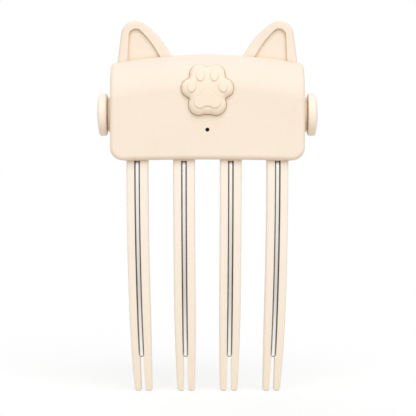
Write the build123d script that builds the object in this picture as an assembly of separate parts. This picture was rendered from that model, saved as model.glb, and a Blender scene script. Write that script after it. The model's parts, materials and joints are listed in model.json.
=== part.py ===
from build123d import *
import math
import os

# Heated root volumizing clip, in millimetres. +X is to the right seen from the front, the front faces -Y and
# +Z is up. The origin is in the middle of the row of forks, level with the body's underside, half way between
# the backs of the forks and the pads of the jaw behind them.

# Body: a moulded shell with a half-round top that sags a little from the middle to its ends
body_width = 65.0
body_depth = 25.6
body_height = 36.1
crown_radius = 170.0
arch_rise = 0.55
wall = 1.6
corner_radius = 4.3
edge_round = 1.5
front_setback = 2.4
parting_depth = 16.4
lip_height = 1.2
lip_clearance = 0.05

# Ears. The points of the outline and of its sunk middle are given as the distance in from the body's side
# and the height above the body's top
ear_thickness = 5.6
ear_recess = 1.0
ear_round = 1.2
ear_foot = (1.8, -5.0)
ear_outer_shoulder = (3.35, 7.1)
ear_inner_shoulder = (10.8, 10.5)
ear_inner_side = (19.6, 0.9)
ear_flare_end = (21.9, -0.6)
hollow_foot = (5.4, -5.0)
hollow_outer_shoulder = (5.95, 6.3)
hollow_inner_shoulder = (10.0, 7.9)
hollow_inner_side = (16.5, -0.9)
hollow_inner_foot = (18.5, -5.0)

# Paw button
button_below_top = 12.4
button_proud = 2.2
button_travel = 0.5
button_clearance = 0.1
button_round = 2.0
button_flange = 1.0
flange_thickness = 1.0
flange_gap = 0.2
plunger_radius = 1.6
plunger_gap = 0.02
pad_proud = 0.45
pad_round = 0.3

# Paw outline: circles as x, height above the button's middle and radius; those off the middle come in pairs
paw_circles = [(0.0, 0.0, 6.2), (2.6, 5.1, 3.3), (5.6, 0.5, 3.15), (2.8, -5.05, 3.5), (0.0, -4.75, 3.5)]
paw_closing = 1.0
heel_circles = [(0.0, -2.9, 2.7), (2.45, -4.2, 2.05)]
heel_closing = 0.8
upper_toe = (2.35, 4.7)
upper_toe_radii = (1.4, 2.0)
side_toe = (5.2, 0.8)
side_toe_radii = (1.4, 1.8)
side_toe_turn = 12.0

# Status light
light_below_middle = 0.4
lens_radius = 0.65
lens_clearance = 0.03
light_guide_radius = 0.8
lens_flange_radius = 1.0
lens_flange = 0.8
light_guide_gap = 0.05

# Forks: flat two-pronged tines that curve back along the head
fork_count = 4
fork_side_margin = 9.1
fork_width = 7.3
fork_thickness = 3.0
fork_length = 79.2
fork_curve_radius = 185.0
fork_fan_angle = 4.7
fork_tip_width = 6.0
fork_taper_start = 45.0
fork_round = 0.8
fork_foot_width = 9.4
fork_foot_height = 1.6
slot_width = 1.86
slot_round = 0.15
throat_width = 1.1
slot_mouth_width = 1.64
tip_round = 1.0
tip_inner_round = 0.7
tip_overrun = 0.1

# Heater rods: steel tubes with a ceramic core
rod_radius = 0.86
rod_bore = 0.56
core_radius = 0.5
rod_reach = 66.0
rod_forward = 0.45
rod_rise = 9.0
core_end_gap = 2.0

# Carrier beam and strip board that hold the forks and feed the rods
carrier_height = 6.0
carrier_base = 0.6
carrier_end_gap = 1.5
carrier_front_gap = 0.1
carrier_back = 0.75
carrier_fit = 0.05
strip_board_thickness = 0.8
strip_board_gap = 0.05
strip_board_fit = 0.03
strip_board_short = 0.4
terminal_radius = 1.4
terminal_height = 1.2
bead_size = (2.0, 1.2, 1.4)

# Jaw: sprung rear half on a cross shaft, with four bars, a squeeze lever and soft pads
grip_gap = 0.6
shaft_radius = 1.5
shaft_fit = 0.05
hub_radius = 3.1
hub_headroom = 0.5
hub_end_gap = 0.4
jaw_open_angle = 14.0
bar_width = 4.6
bar_thickness = 2.0
bar_reach = 63.5
lean_start = 4.0
lean_middle_z = 0.4
lean_end_z = 3.4
lean_middle = (0.6, 0.9)
lean_end = (0.8, 1.2)
grip_pad_thickness = 0.6
grip_pad_bond = 0.05
grip_pad_width = 3.4
grip_pad_start = 6.0
web_end_gap = 1.0
web_foot = (1.5, 2.4)
web_knee = (3.6, 8.0)
web_top_y = 4.3
web_foot_thickness = 3.4
web_knee_thickness = 3.0
web_back = (2.4, -1.4)
jaw_opening_back = 9.4
lever_width = 34.0
lever_below_pivot = 4.7
lever_above_pivot = 11.3
lever_stand_off = 0.4
lever_lean = 3.0
lever_thickness = 2.4
lever_corner = 3.0
lever_arm_x = 9.0
lever_arm_width = 7.0
lever_arm_below = 2.3
lever_arm_above = 0.7
lever_clearance = 0.4
thumb_pad_width = 28.0
thumb_pad_height = 9.0
thumb_pad_thickness = 0.9
thumb_pad_corner = 2.5
spring_half_length = 6.6
spring_outer_radius = 2.7
spring_bore_gap = 0.3
spring_wire = 0.8
spring_room = 0.7
spring_end_room = 0.4
spring_leg_gap = 0.05
spring_upper_reach = 5.0
spring_lower_start = 2.2
spring_lower_reach = 8.0

# Side knobs and their bushes
knob_radius = 7.2
knob_thickness = 3.5
knob_dome = 0.9
knob_round = 0.7
knob_gap = 0.4
knob_hub_radius = 5.2
knob_hub_gap = 0.15
knob_bore_depth = 2.0
bush_flange_radius = 5.9
bush_flange = 1.0
bush_sleeve_radius = 2.6
bush_inside = 2.9

# Electronics and cell
board_thickness = 1.0
board_front_y = 1.2
board_end_gap = 2.6
board_below_light = 1.0
board_below_top = 6.1
board_post_inset = 4.0
board_post_rise = 4.2
board_upper_post_drop = 2.0
board_post_radius = 2.0
board_screw_radius = 0.7
board_screw_length = 4.2
board_screw_head = 1.4
board_screw_head_height = 1.0
board_screw_clearance = 0.1
switch_size = 6.0
switch_height = 1.8
stem_radius = 1.15
stem_proud = 0.95
stem_sunk = 0.7
stem_clearance = 0.2
stem_end_room = 0.3
light_width = 1.6
light_height = 0.85
cell_end_room = 3.6
cell_depth = 12.2
cell_height = 8.6
cell_front_y = 2.9
cell_below_top = 7.3
cell_round = 1.5
tray_thickness = 0.8
tray_clearance = 0.1
tray_stop = 1.0
tray_stop_height = 5.5
tray_stop_gap = 0.05
tab_thickness = 0.15
tab_rise = 2.5
tab_height = 3.0
tab_reach = 5.0

# Charging socket, a standard small oval power inlet
socket_width = 8.94
socket_height = 3.26
socket_depth = 7.35
socket_wall = 0.3
socket_z = 5.4
socket_inset = 0.15
socket_hole_clearance = 0.15
tongue_width = 6.7
tongue_height = 0.7
tongue_length = 4.5
charge_board_width = 18.0
charge_board_depth = 6.6
charge_board_thickness = 0.8
charge_rib_x = 7.0
charge_rib_thickness = 1.2

# Case screws
case_post_radius = 2.5
case_rib_thickness = 1.6
case_post_inset = 3.4
case_post_low_z = 5.2
case_post_below_top = 9.1
case_post_front_y = 2.0
screw_radius = 0.95
screw_hole_radius = 1.1
screw_head_radius = 1.75
screw_head_height = 1.4
screw_seat_y = 12.9
screw_length = 8.0
screw_head_room = 0.15

# Places that follow from the sizes above
fork_front_y = -grip_gap / 2 - fork_thickness
fork_middle_y = -grip_gap / 2 - fork_thickness / 2
front_y = fork_front_y - front_setback
back_y = front_y + body_depth
middle_y = front_y + body_depth / 2
parting_y = front_y + parting_depth
lever_low_y = back_y + lever_stand_off
lever_high_y = lever_low_y + lever_lean
half_width = body_width / 2
round_start_z = body_height - body_depth / 2
case_post_x = half_width - case_post_inset
case_post_high_z = body_height - case_post_below_top
post_inner_x = case_post_x - case_post_radius
button_z = body_height - button_below_top
button_bottom = button_z + min(rise - radius for x, rise, radius in paw_circles)
fork_pitch = (body_width - 2 * fork_side_margin) / (fork_count - 1)
carrier_length = body_width - 2 * (wall + carrier_end_gap)
cell_length = 2 * (post_inner_x - cell_end_room)
cell_bottom = body_height - cell_below_top - cell_height
pivot_z = cell_bottom - tray_clearance - tray_thickness - hub_headroom - hub_radius
bush_inner_end = half_width - wall - bush_inside
hub_end = bush_inner_end - hub_end_gap
web_half_width = post_inner_x - web_end_gap
lever_bottom = pivot_z - lever_below_pivot
lever_top = pivot_z + lever_above_pivot
crown_axis = Axis((0, 0, body_height - crown_radius), (0, 1, 0))
lever_rise = (back_y - middle_y) * math.sin(math.radians(jaw_open_angle))
strip_board_bottom = carrier_base + carrier_height + strip_board_gap
strip_board_top = strip_board_bottom + strip_board_thickness
flange_bottom = button_bottom - button_clearance - button_flange
light_z = (strip_board_top + flange_bottom) / 2 - light_below_middle
board_half_width = post_inner_x - board_end_gap
board_bottom = light_z - board_below_light
board_top = body_height - board_below_top
board_post_x = board_half_width - board_post_inset
board_post_z = board_bottom + board_post_rise
board_upper_post_z = board_top - board_upper_post_drop
pivot = (middle_y, pivot_z)
below = 8.0
beyond = 20.0


def span_box(x, y, z):
    """A box between the two ends given for each axis."""
    size = [end - start for start, end in (x, y, z)]
    centre = [(start + end) / 2 for start, end in (x, y, z)]
    return Pos(*centre) * Box(*size)


def front_prism(face, y_from, y_to):
    """A face drawn in the front view, as x and z, stretched from one depth to another."""
    plane = Plane(origin=(0, y_to, 0), x_dir=(1, 0, 0), z_dir=(0, -1, 0))
    return extrude(plane * face, amount=y_to - y_from)


def side_prism(points, x_from, x_to):
    """A closed polygon of y and z points, stretched from one x to another."""
    face = Plane.YZ * make_face(Polyline(*points, close=True))
    return Pos(x_from, 0, 0) * extrude(face, amount=x_to - x_from)


def cross_rod(radius, x_from, x_to, y=middle_y, z=pivot_z):
    """A round bar along X."""
    return Pos((x_from + x_to) / 2, y, z) * Rot(0, 90, 0) * Cylinder(radius, x_to - x_from)


def depth_rod(radius, x, z, y_from, y_to):
    """A round bar along Y."""
    return Pos(x, (y_from + y_to) / 2, z) * Rot(90, 0, 0) * Cylinder(radius, y_to - y_from)


def crowned(offset):
    """The body's half-round form, grown by an offset, without ends or underside."""
    radius = body_depth / 2 + offset
    near, far = middle_y - radius, middle_y + radius
    front = Line((near, -below), (near, round_start_z))
    top = ThreePointArc((near, round_start_z), (middle_y, round_start_z + radius), (far, round_start_z))
    back = Line((far, round_start_z), (far, -below))
    foot = Line((far, -below), (near, -below))
    section = Plane.YZ * make_face(front + top + back + foot)
    sweep_angle = 2 * math.degrees(math.asin((half_width + 2) / (crown_radius - body_height)))
    turned = revolve(section, axis=crown_axis, revolution_arc=sweep_angle)
    return turned.rotate(crown_axis, -sweep_angle / 2)


def front_outline(inset):
    """The body's sides, lower corners and arched underside in the front view."""
    side = half_width - inset
    top = body_height + beyond
    arch = ThreePointArc((-side, inset), (0, inset + arch_rise), (side, inset))
    frame = Polyline((side, inset), (side, top), (-side, top), (-side, inset))
    face = make_face(arch + frame)
    lower = face.vertices().group_by(Axis.Y)[0]
    return fillet(lower, max(corner_radius - inset, 0.5))


def body_block():
    """The body's outside, with every outer edge rounded alike."""
    block = crowned(0) & front_prism(front_outline(0), front_y - 1, back_y + 1)
    outer_edges = []
    for edge in block.edges():
        place = edge.center()
        along_depth = edge.geom_type == GeomType.LINE and abs((edge % 0.5).Y) > 0.99
        crown_line = abs(place.X) < 1 and place.Z > corner_radius
        if not along_depth and not crown_line:
            outer_edges.append(edge)
    return fillet(outer_edges, edge_round)


def ear_point(point):
    """A point of the right ear as x and z."""
    inwards, rise = point
    return half_width - inwards, body_height + rise


def ear_face():
    """The right ear's outline in the front view; it reaches down into the body's top."""
    foot, outer_shoulder = ear_point(ear_foot), ear_point(ear_outer_shoulder)
    inner_shoulder, inner_side = ear_point(ear_inner_shoulder), ear_point(ear_inner_side)
    flare_end = ear_point(ear_flare_end)
    outer = Line(foot, outer_shoulder)
    tip = TangentArc(outer_shoulder, inner_shoulder, tangent=outer % 1)
    inner = TangentArc(inner_shoulder, inner_side, tangent=tip % 1)
    flare = TangentArc(inner_side, flare_end, tangent=inner % 1)
    return make_face(outer + tip + inner + flare + Polyline(flare_end, (flare_end[0], foot[1]), foot))


def ear_hollow_face():
    """The sunk middle of the right ear in the front view."""
    foot, outer_shoulder = ear_point(hollow_foot), ear_point(hollow_outer_shoulder)
    inner_shoulder, inner_side = ear_point(hollow_inner_shoulder), ear_point(hollow_inner_side)
    outer = Line(foot, outer_shoulder)
    tip = TangentArc(outer_shoulder, inner_shoulder, tangent=outer % 1)
    inner = TangentArc(inner_shoulder, inner_side, tangent=tip % 1)
    return make_face(outer + tip + inner + Polyline(inner_side, ear_point(hollow_inner_foot), foot))


def right_ear():
    """The right ear, cut off inside the body's wall."""
    front = middle_y - ear_thickness / 2
    ear = front_prism(ear_face(), front, front + ear_thickness)
    rims = ear.edges().filter_by(lambda edge: abs((edge % 0.5).Y) < 0.1 and edge.center().Z > body_height)
    ear = fillet(rims, ear_round)
    ear -= front_prism(ear_hollow_face(), front - 1, front + ear_recess)
    return ear - crowned(-wall / 2)


def rounded_union(circles, closing):
    """Circles about the button's middle joined, with their mirror copies, into one soft outline."""
    discs = []
    for x, rise, radius in circles:
        discs += [Pos(side * x, button_z + rise) * Circle(radius) for side in ((-1, 1) if x else (1,))]
    grown = offset(Sketch() + discs, amount=closing, kind=Kind.ARC)
    return offset(grown, amount=-closing, kind=Kind.ARC)


def paw_outline(growth=0.0):
    """The button's outline: two toes on top, one at each side and a wide heel."""
    paw = rounded_union(paw_circles, paw_closing)
    if growth:
        return offset(paw, amount=growth, kind=Kind.ARC)
    return paw


def paw_pads():
    """The raised heel pad and the four raised toes, each drawn in the front view."""
    pads = [rounded_union(heel_circles, heel_closing)]
    for side in (-1, 1):
        upper = Pos(side * upper_toe[0], button_z + upper_toe[1]) * Ellipse(*upper_toe_radii)
        side_place = Pos(side * side_toe[0], button_z + side_toe[1]) * Rot(0, 0, side * side_toe_turn)
        pads += [upper, side_place * Ellipse(*side_toe_radii)]
    return pads


def case_posts(y_from, y_to, radius):
    """Round bars along Y at the four case screws."""
    return [
        depth_rod(radius, side * case_post_x, z, y_from, y_to)
        for side in (-1, 1)
        for z in (case_post_low_z, case_post_high_z)
    ]


def case_shell():
    """The whole hollow case before it is parted."""
    cavity = crowned(-wall) & front_prism(front_outline(wall), front_y, back_y)
    shell = body_block() - cavity
    jaw_way = span_box(
        (-carrier_length / 2 - carrier_fit, carrier_length / 2 + carrier_fit),
        (front_y + wall, jaw_opening_back),
        (-below, wall + arch_rise + 0.01),
    )
    shell -= jaw_way
    for side in (-1, 1):
        shell -= cross_rod(bush_sleeve_radius, side * half_width - 5, side * half_width + 5)
    return shell


def rear_lip(extra):
    """The thin inner lip of the rear shell that locates in the front shell."""
    ring = crowned(-wall / 2 + extra) & front_prism(front_outline(wall / 2 - extra), front_y, back_y)
    ring -= crowned(-wall) & front_prism(front_outline(wall), front_y - 1, back_y + 1)
    lip_bottom = pivot_z + 2 * bush_sleeve_radius
    band_y = (parting_y - lip_height, parting_y)
    return ring & span_box((-half_width, half_width), band_y, (lip_bottom, body_height))


def front_housing(shell):
    """Front shell with both ears, the paw-shaped hole and the posts inside."""
    housing = shell & span_box((-body_width, body_width), (front_y - 1, parting_y), (-below, body_height + 1))
    ear = right_ear()
    housing += [ear, ear.mirror(Plane.YZ)]
    housing -= front_prism(paw_outline(button_clearance), front_y - 5, middle_y)
    housing -= depth_rod(lens_radius + lens_clearance, 0, light_z, front_y - 1, front_y + wall + 1)
    inside = crowned(-wall / 2) & front_prism(front_outline(wall / 2), front_y, back_y)
    for post in case_posts(case_post_front_y, parting_y, case_post_radius):
        x, z = post.center().X, post.center().Z
        rib_x = sorted((x, math.copysign(half_width - wall / 2, x)))
        rib_z = (z - case_rib_thickness / 2, z + case_rib_thickness / 2)
        housing += (post + span_box(rib_x, (case_post_front_y, parting_y), rib_z)) & inside
    housing -= case_posts(screw_seat_y - screw_length, parting_y + 1, screw_radius)
    housing -= rear_lip(lip_clearance)
    for side in (-1, 1):
        for z in (board_post_z, board_upper_post_z):
            post = depth_rod(board_post_radius, side * board_post_x, z, front_y, board_front_y)
            housing += post & inside
        pilot_y = (board_front_y - board_screw_length, board_front_y + 1)
        housing -= depth_rod(board_screw_radius, side * board_post_x, board_post_z, *pilot_y)
    return housing


def rear_housing(shell):
    """Back shell with the lever's window, the socket's hole and the screw posts."""
    housing = shell & span_box((-body_width, body_width), (parting_y, back_y + 1), (-below, body_height + 1))
    housing += rear_lip(0)
    inside = crowned(-wall / 2) & front_prism(front_outline(wall / 2), front_y, back_y)
    for post in case_posts(parting_y, back_y, case_post_radius):
        housing += post & inside
    housing -= case_posts(parting_y - 1, back_y + 1, screw_hole_radius)
    housing -= case_posts(screw_seat_y, back_y + 1, screw_head_radius + screw_head_room)
    half = lever_arm_width / 2 + lever_clearance
    window_bottom = pivot_z - lever_arm_below - lever_clearance
    window_top = pivot_z + lever_arm_above + lever_rise + 2 * lever_clearance
    for side in (-1, 1):
        span = (side * lever_arm_x - half, side * lever_arm_x + half)
        housing -= span_box(span, (parting_y + 1, back_y + 1), (window_bottom, window_top))
    hole = oval(socket_width + 2 * socket_hole_clearance, socket_height + 2 * socket_hole_clearance)
    housing -= front_prism(Pos(0, socket_z) * hole, back_y - 3, back_y + 1)
    shelf_top = socket_z - socket_height / 2 - charge_board_thickness
    for side in (-1, 1):
        middle = side * charge_rib_x
        rib_x = (middle - charge_rib_thickness / 2, middle + charge_rib_thickness / 2)
        housing += span_box(rib_x, (parting_y + 0.5, back_y - wall / 2), (wall / 2, shelf_top))
    return housing


def oval(width, height):
    """A slot shape, wider than it is high."""
    return SlotOverall(width, height)


def front_rim(solid):
    """The outline of a solid's front, without the seams inside it."""
    faces = [face for face in solid.faces() if face.normal_at().Y < -0.2]
    edges = [edge for face in faces for edge in face.edges()]
    return [edge for edge in edges if sum(edge.is_same(other) for other in edges) == 1]


def paw_button():
    """Button cap with its retaining flange and the plunger that meets the switch."""
    ahead = front_y - 2 * button_proud
    cap = front_prism(paw_outline(), ahead, middle_y) & crowned(button_proud)
    cap = fillet(front_rim(cap), button_round) - crowned(-wall - flange_gap)
    flange_face = paw_outline(button_clearance + button_flange)
    flange = front_prism(flange_face, front_y, middle_y) & crowned(-wall - flange_gap)
    flange -= crowned(-wall - flange_gap - flange_thickness)
    stem_tip_y = board_front_y - switch_height - stem_proud
    plunger = depth_rod(plunger_radius, 0, button_z, front_y + wall, stem_tip_y - plunger_gap)
    button = cap + flange + plunger
    for face in paw_pads():
        pad = front_prism(face, ahead, middle_y) & crowned(button_proud + pad_proud)
        button += fillet(front_rim(pad), pad_round) - crowned(button_proud / 2)
    return button


def lens():
    """Black window of the status light, with a guide back to the light itself."""
    inner = front_y + wall
    front = depth_rod(lens_radius, 0, light_z, front_y, inner)
    flange = depth_rod(lens_flange_radius, 0, light_z, inner, inner + lens_flange)
    guide_end = board_front_y - light_height - light_guide_gap
    guide = depth_rod(light_guide_radius, 0, light_z, inner, guide_end)
    return front + flange + guide


def fork_places():
    """Centre and turn about the vertical of each fork: the planes turn in towards the middle."""
    outermost = fork_pitch * (fork_count - 1) / 2
    for index in range(fork_count):
        x = (index - (fork_count - 1) / 2) * fork_pitch
        yield x, fork_fan_angle * x / outermost


def at_fork(shape, x, turn):
    """A shape drawn about a fork's own centre line, put in that fork's place."""
    return Pos(x, fork_middle_y, 0) * Rot(0, 0, turn) * shape


def curved_band(front, back, reach, half_span):
    """A sheet that follows the forks' curve, between two depths measured from the forks' middle plane."""
    angle = math.degrees(math.asin(reach / fork_curve_radius))
    outer = CenterArc((fork_curve_radius, 0), fork_curve_radius - front, 180, angle)
    inner = CenterArc((fork_curve_radius, 0), fork_curve_radius - back, 180, angle)
    face = make_face(outer + inner + Line(outer @ 0, inner @ 0) + Line(outer @ 1, inner @ 1))
    return Pos(-half_span, 0, 0) * extrude(Plane.YZ * face, amount=2 * half_span)


def fork_face():
    """One fork's outside in the front view, before its slot is cut."""
    half = fork_width / 2
    tip_half = fork_tip_width / 2
    taper = fork_taper_start
    side = Line((half, 0), (half, -taper))
    flank = TangentArc((half, -taper), (tip_half, -fork_length), tangent=(0, -1))
    bottom = Line((tip_half, -fork_length), (-tip_half, -fork_length))
    left_flank = TangentArc((-half, -taper), (-tip_half, -fork_length), tangent=(0, -1))
    left_side = Line((-half, 0), (-half, -taper))
    face = make_face(side + flank + bottom + left_flank + left_side + Line((-half, 0), (half, 0)))
    corners = face.vertices().filter_by(lambda corner: corner.Y < -fork_length + 0.01)
    return fillet(corners, tip_round)


def slot_face():
    """The slot between the prongs: a round seat for the rod's end, then a throat that opens to the tips."""
    throat, mouth, curl = throat_width / 2, slot_mouth_width / 2, tip_inner_round
    curl_z = -fork_length + curl
    right = Polyline((-throat, -rod_reach), (throat, -rod_reach), (mouth, curl_z))
    flared, flare_z = mouth + curl, -fork_length - tip_overrun
    right_curl = TangentArc((mouth, curl_z), (flared, flare_z), tangent=(0, -1))
    end_z = flare_z - 1
    bottom = Polyline((flared, flare_z), (flared, end_z), (-flared, end_z), (-flared, flare_z))
    left_curl = TangentArc((-mouth, curl_z), (-flared, flare_z), tangent=(0, -1))
    left = Line((-mouth, curl_z), (-throat, -rod_reach))
    gap = make_face(right + right_curl + bottom + left_curl + left)
    channel = Pos(0, -rod_reach / 2 + 5) * Rectangle(slot_width, rod_reach + 10)
    return channel + Pos(0, -rod_reach) * Circle(slot_width / 2) + gap


def fork():
    """One fork about its own centre line, with the foot that hangs in the carrier."""
    depth = (-fork_thickness, beyond * 2)
    band = curved_band(-fork_thickness / 2, fork_thickness / 2, fork_length + 3, fork_width)
    blade = band & front_prism(fork_face(), *depth)
    rims = blade.edges().filter_by(lambda edge: abs((edge % 0.5).Y) < 0.9 and edge.center().Z < -0.1)
    blade = fillet(rims, fork_round)
    tines = blade - front_prism(slot_face(), *depth)
    slot_edges = tines.edges().filter_by(
        lambda edge: abs((edge % 0.5).Y) < 0.9 and abs(edge.center().X) < slot_width / 2 + 0.01
    )
    lowest = -fork_length + 2 * tip_inner_round
    slot_edges = slot_edges.filter_by(lambda edge: lowest < edge.center().Z < -0.1)
    tines = fillet(slot_edges, slot_round)
    top = carrier_base + carrier_height
    neck_z = top - fork_foot_height
    half_depth = (-fork_thickness / 2, fork_thickness / 2)
    neck = span_box((-fork_width / 2, fork_width / 2), half_depth, (0, neck_z))
    foot = span_box((-fork_foot_width / 2, fork_foot_width / 2), half_depth, (neck_z, top))
    rod_way = Pos(0, -rod_forward, top / 2) * Cylinder(rod_radius + carrier_fit, top + 2)
    return tines + ((neck + foot) - rod_way)


def rod_solid(radius, reach, top):
    """A round bar that runs down a fork's slot: straight above the underside, curved below it."""
    angle = math.degrees(math.asin(reach / fork_curve_radius))
    bend_axis = Axis((0, fork_curve_radius, 0), (1, 0, 0))
    curve = revolve(Pos(0, -rod_forward, 0) * Circle(radius), axis=bend_axis, revolution_arc=angle)
    straight = Pos(0, -rod_forward, top / 2) * Cylinder(radius, top)
    return curve + straight


def rod_end(radius, reach):
    """Centre of the rod's lower end, about the fork's own centre line."""
    angle = math.asin(reach / fork_curve_radius)
    arm = fork_curve_radius + rod_forward
    return Pos(0, fork_curve_radius - arm * math.cos(angle), -arm * math.sin(angle)) * Sphere(radius)


def heater_rod():
    """Steel tube with a closed round end."""
    tube = rod_solid(rod_radius, rod_reach, rod_rise) + rod_end(rod_radius, rod_reach)
    return tube - rod_solid(rod_bore, rod_reach - core_end_gap, rod_rise + 1)


def fork_carrier():
    """Beam across the body's mouth with a pocket for each fork's foot."""
    top = carrier_base + carrier_height
    beam = span_box(
        (-carrier_length / 2, carrier_length / 2),
        (front_y + wall + carrier_front_gap, carrier_back),
        (carrier_base, top),
    )
    half_depth = fork_thickness / 2 + carrier_fit
    half_neck = fork_width / 2 + carrier_fit
    half_foot = fork_foot_width / 2 + carrier_fit
    neck = span_box((-half_neck, half_neck), (-half_depth, half_depth), (-1, top + 1))
    foot = span_box((-half_foot, half_foot), (-half_depth, half_depth), (top - fork_foot_height, top + 1))
    for x, turn in fork_places():
        beam -= at_fork(neck + foot, x, turn)
    return beam


def strip_board():
    """Board over the carrier that feeds the four rods."""
    bottom = strip_board_bottom
    half = carrier_length / 2 - strip_board_short
    board = span_box(
        (-half, half),
        (front_y + wall + 2 * carrier_front_gap, carrier_back - carrier_front_gap),
        (bottom, bottom + strip_board_thickness),
    )
    hole = Pos(0, -rod_forward, bottom) * Cylinder(rod_radius + strip_board_fit, 4 * strip_board_thickness)
    for x, turn in fork_places():
        board -= at_fork(hole, x, turn)
    return board


def rod_terminal(x, turn):
    """Crimp sleeve on a rod's upper end."""
    place = Pos(0, -rod_forward, strip_board_top + terminal_height / 2)
    sleeve = Cylinder(terminal_radius, terminal_height) - Cylinder(rod_radius, terminal_height + 1)
    return at_fork(place * sleeve, x, turn)


def jaw_bar():
    """One bar of the jaw about the fork's centre line: it follows the fork's back, then leans to the web."""
    front = fork_thickness / 2 + grip_gap + grip_pad_thickness
    back = front + bar_thickness
    bar = curved_band(front, back, bar_reach, bar_width / 2)
    bar -= span_box((-bar_width, bar_width), (-1, beyond), (-lean_start, 1))
    curve_y = fork_curve_radius - math.sqrt(fork_curve_radius**2 - lean_start**2)
    points = [
        (front + curve_y, -lean_start),
        (front + lean_middle[0], lean_middle_z),
        (front + lean_end[0], lean_end_z),
        (back + lean_end[1], lean_end_z),
        (back + lean_middle[1], lean_middle_z),
        (back + curve_y, -lean_start),
    ]
    return bar + side_prism(points, -bar_width / 2, bar_width / 2)


def grip_pad():
    """Soft strip on a bar's front."""
    face_y = fork_thickness / 2 + grip_gap
    pad_back = face_y + grip_pad_thickness - grip_pad_bond
    pad = curved_band(face_y, pad_back, bar_reach - 1, grip_pad_width / 2)
    return pad - span_box((-bar_width, bar_width), (-1, beyond), (-grip_pad_start, 1))


def clamp_jaw():
    """Hubs on the shaft, a web down to the four bars and a squeeze lever at the back."""
    y, z = pivot
    points = [
        web_foot,
        web_knee,
        (web_top_y, z),
        (y + web_back[0], z + web_back[1]),
        (web_knee[0] + web_knee_thickness, web_knee[1]),
        (web_foot[0] + web_foot_thickness, web_foot[1]),
    ]
    web = side_prism(points, -web_half_width, web_half_width)
    jaw = web + cross_rod(hub_radius, -hub_end, hub_end)
    plate = side_prism(
        [
            (lever_low_y, lever_bottom),
            (lever_low_y + lever_thickness, lever_bottom),
            (lever_high_y + lever_thickness, lever_top),
            (lever_high_y, lever_top),
        ],
        -lever_width / 2,
        lever_width / 2,
    )
    short = 2 * lever_thickness
    corners = plate.edges().filter_by(lambda edge: abs((edge % 0.5).X) < 0.1 and edge.length < short)
    plate = fillet(corners, lever_corner)
    jaw += plate
    for side in (-1, 1):
        span = (side * lever_arm_x - lever_arm_width / 2, side * lever_arm_x + lever_arm_width / 2)
        jaw += span_box(span, (y + 1, lever_low_y + 1.5), (z - lever_arm_below, z + lever_arm_above))
    for x, turn in fork_places():
        jaw += at_fork(jaw_bar(), x, turn)
    spring_way = spring_half_length + spring_end_room
    jaw -= cross_rod(spring_outer_radius + spring_room, -spring_way, spring_way)
    jaw -= cross_rod(shaft_radius, -hub_end - 1, hub_end + 1)
    return jaw


def thumb_pad():
    """Soft pad on the outside of the squeeze lever."""
    lean_angle = math.degrees(math.atan2(lever_lean, lever_top - lever_bottom))
    pad = Box(thumb_pad_width, thumb_pad_thickness, thumb_pad_height)
    pad = fillet(pad.edges().filter_by(Axis.Y), thumb_pad_corner)
    middle = (lever_low_y + lever_high_y) / 2 + lever_thickness
    place = Pos(0, middle, (lever_bottom + lever_top) / 2) * Rot(-lean_angle, 0, 0)
    return place * Pos(0, thumb_pad_thickness / 2, 0) * pad


def torsion_spring():
    """The coil round the shaft, as a plain sleeve, with its two straight legs."""
    y, z = pivot
    coil = cross_rod(spring_outer_radius, -spring_half_length, spring_half_length)
    coil -= cross_rod(shaft_radius + spring_bore_gap, -beyond, beyond)
    leg = spring_wire / 2
    leg_x = spring_half_length - leg
    upper_z = cell_bottom - tray_clearance - tray_thickness - spring_leg_gap - leg
    upper = depth_rod(leg, leg_x, upper_z, y - leg, y + spring_upper_reach)
    riser_foot = z + spring_outer_radius - leg
    riser = Pos(leg_x, y, (riser_foot + upper_z) / 2) * Cylinder(leg, upper_z - riser_foot + leg)
    lower_z = z + lever_arm_above + spring_leg_gap + leg
    lower = depth_rod(leg, -leg_x, lower_z, y + spring_lower_start, y + spring_lower_reach)
    return coil + upper + riser + lower


def knob(side):
    """Domed knob on one end of the shaft."""
    y, z = pivot
    inner = half_width + bush_flange + knob_gap
    outer = inner + knob_thickness
    rim = outer - knob_dome
    low = Line((inner, 0), (inner, knob_radius))
    edge = Line((inner, knob_radius), (rim, knob_radius))
    dome_radius = (knob_radius**2 + knob_dome**2) / (2 * knob_dome)
    mid_angle = math.asin(knob_radius / dome_radius) / 2
    mid = (outer - dome_radius * (1 - math.cos(mid_angle)), dome_radius * math.sin(mid_angle))
    dome = ThreePointArc((rim, knob_radius), mid, (outer, 0))
    face = make_face(low + edge + dome + Line((outer, 0), (inner, 0)))
    solid = revolve(face, axis=Axis.X)
    rims = solid.edges().filter_by(lambda edge: edge.length > 2 * math.pi * (knob_radius - 0.1))
    solid = fillet(rims, knob_round)
    solid = Pos(0, y, z) * solid
    solid += cross_rod(knob_hub_radius, inner - knob_gap + knob_hub_gap, inner + 1)
    solid -= cross_rod(shaft_radius, inner - 1, inner + knob_bore_depth)
    return solid if side > 0 else solid.mirror(Plane.YZ)


def end_bush(side):
    """Bush in one end of the body: a boss outside, a sleeve through the wall."""
    flange = cross_rod(bush_flange_radius, half_width, half_width + bush_flange)
    sleeve = cross_rod(bush_sleeve_radius, bush_inner_end, half_width + bush_flange)
    bush = flange + sleeve - cross_rod(shaft_radius + shaft_fit, bush_inner_end - 1, half_width + beyond)
    return bush if side > 0 else bush.mirror(Plane.YZ)


def pivot_shaft():
    """Steel shaft through the hubs, both bushes and into both knobs."""
    end = half_width + bush_flange + knob_gap + knob_bore_depth
    return cross_rod(shaft_radius, -end, end)


def main_board():
    """Upright board behind the button."""
    board = span_box(
        (-board_half_width, board_half_width),
        (board_front_y, board_front_y + board_thickness),
        (board_bottom, board_top),
    )
    hole = board_screw_radius + board_screw_clearance
    for side in (-1, 1):
        board -= depth_rod(hole, side * board_post_x, board_post_z, board_front_y - 1, board_front_y + 3)
    return board


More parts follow.
